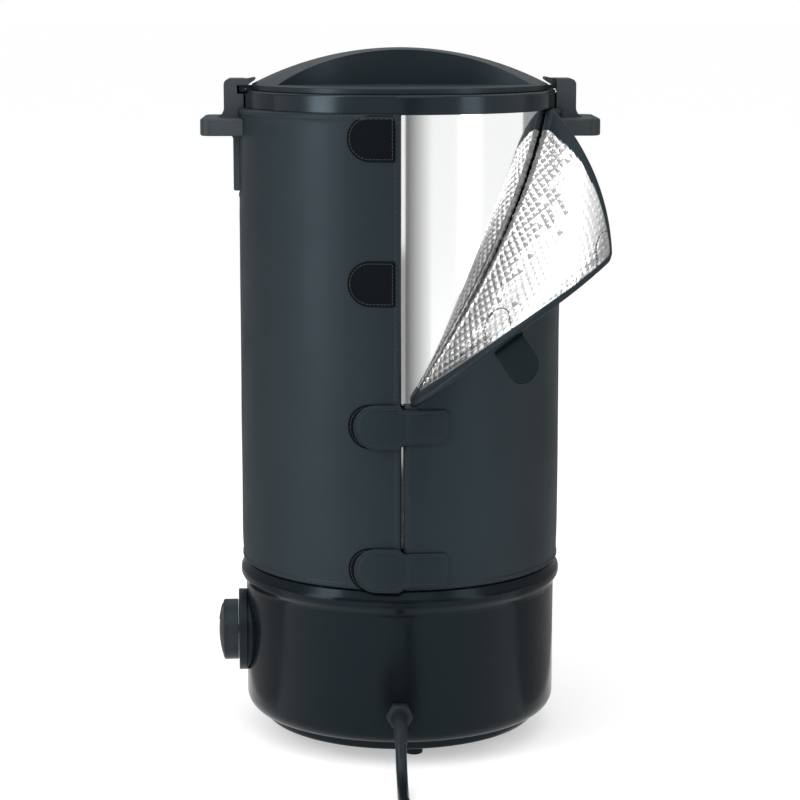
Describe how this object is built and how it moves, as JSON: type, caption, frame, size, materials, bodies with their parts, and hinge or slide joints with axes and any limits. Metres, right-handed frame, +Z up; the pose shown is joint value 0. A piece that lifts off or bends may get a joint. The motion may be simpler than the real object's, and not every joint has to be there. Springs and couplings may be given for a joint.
{
  "type": "candle wax melter",
  "caption": "Tall steel tank on a heated base, in a padded wrap with one corner folded back, with a twist-lock lid, side handles, thermostat knob and pouring tap.",
  "frame": {"origin": "on the tank's axis, at the surface that the four feet stand on", "axes": "+Z up; -Y towards the side with the mains lead and the wrap's opening; +Y towards the tap; -X towards the knob"},
  "size_m": [0.2479, 0.5105, 0.433],
  "materials": {
    "polished_steel": "mirror polished stainless steel",
    "steel_parts": "plain zinc-plated and stainless steel",
    "base_black": "gloss black",
    "lid_black": "satin black",
    "handle_black": "fine-textured matte black",
    "dial_black": "semi-gloss black",
    "wrap_black": "smooth black coated fabric",
    "hook_black": "black hook-and-loop pile",
    "silicone": "translucent grey silicone",
    "rubber_black": "black rubber",
    "cord_black": "satin black PVC",
    "aluminium": "as cast",
    "tap_steel": "polished stainless steel",
    "tap_black": "black phenolic",
    "ceramic": "off-white steatite",
    "copper": "copper"
  },
  "bodies": {
    "pot": {"base_shell": "base_black", "base_cover": "base_black", "base_feet": "rubber_black", "base_screws": "steel_parts", "tank": "polished_steel", "rim_band": "base_black", "handle_left": "handle_black", "handle_right": "handle_black", "handle_studs": "steel_parts", "jacket_wrap": "wrap_black", "jacket_flap": "wrap_black", "closed_straps": "wrap_black", "open_strap_upper": "wrap_black", "open_strap_lower": "wrap_black", "hook_patches": "hook_black", "heater_plate": "aluminium", "heating_element": "steel_parts", "heater_fixing": "steel_parts", "heat_shield": "steel_parts", "thermal_cutoff": "steel_parts", "thermostat": "dial_black", "thermostat_nut": "steel_parts", "thermostat_sensor": "copper", "terminal_block": "ceramic", "dial_bezel": "dial_black", "tap_body": "tap_steel", "tap_washers": "silicone", "tap_nut": "steel_parts", "tap_cap": "tap_steel", "cord_gland": "rubber_black", "mains_cord": "cord_black", "cord_coil": "cord_black", "mains_plug": "rubber_black"},
    "lid": {"lid": "lid_black", "lid_seal": "silicone"},
    "knob": {"dial_knob": "dial_black", "knob_shaft": "steel_parts"},
    "tap_valve": {"tap_plug": "tap_steel", "tap_lever": "tap_black"}
  },
  "joints": [
    {"name": "lid_twist", "type": "hinge", "parent": "pot", "child": "lid", "pos_m": [0, 0, 0.4074], "axis": [0, 0, 1], "range_deg": [0, 30]},
    {"name": "knob_turn", "type": "hinge", "parent": "pot", "child": "knob", "pos_m": [-0.10175, -0.00712, 0.0635], "axis": [0.9976, 0.0698, 0], "range_deg": [0, 270]},
    {"name": "tap_turn", "type": "hinge", "parent": "pot", "child": "tap_valve", "pos_m": [0, 0.126, 0.136], "axis": [0, 0, 1], "range_deg": [0, 90]}
  ]
}
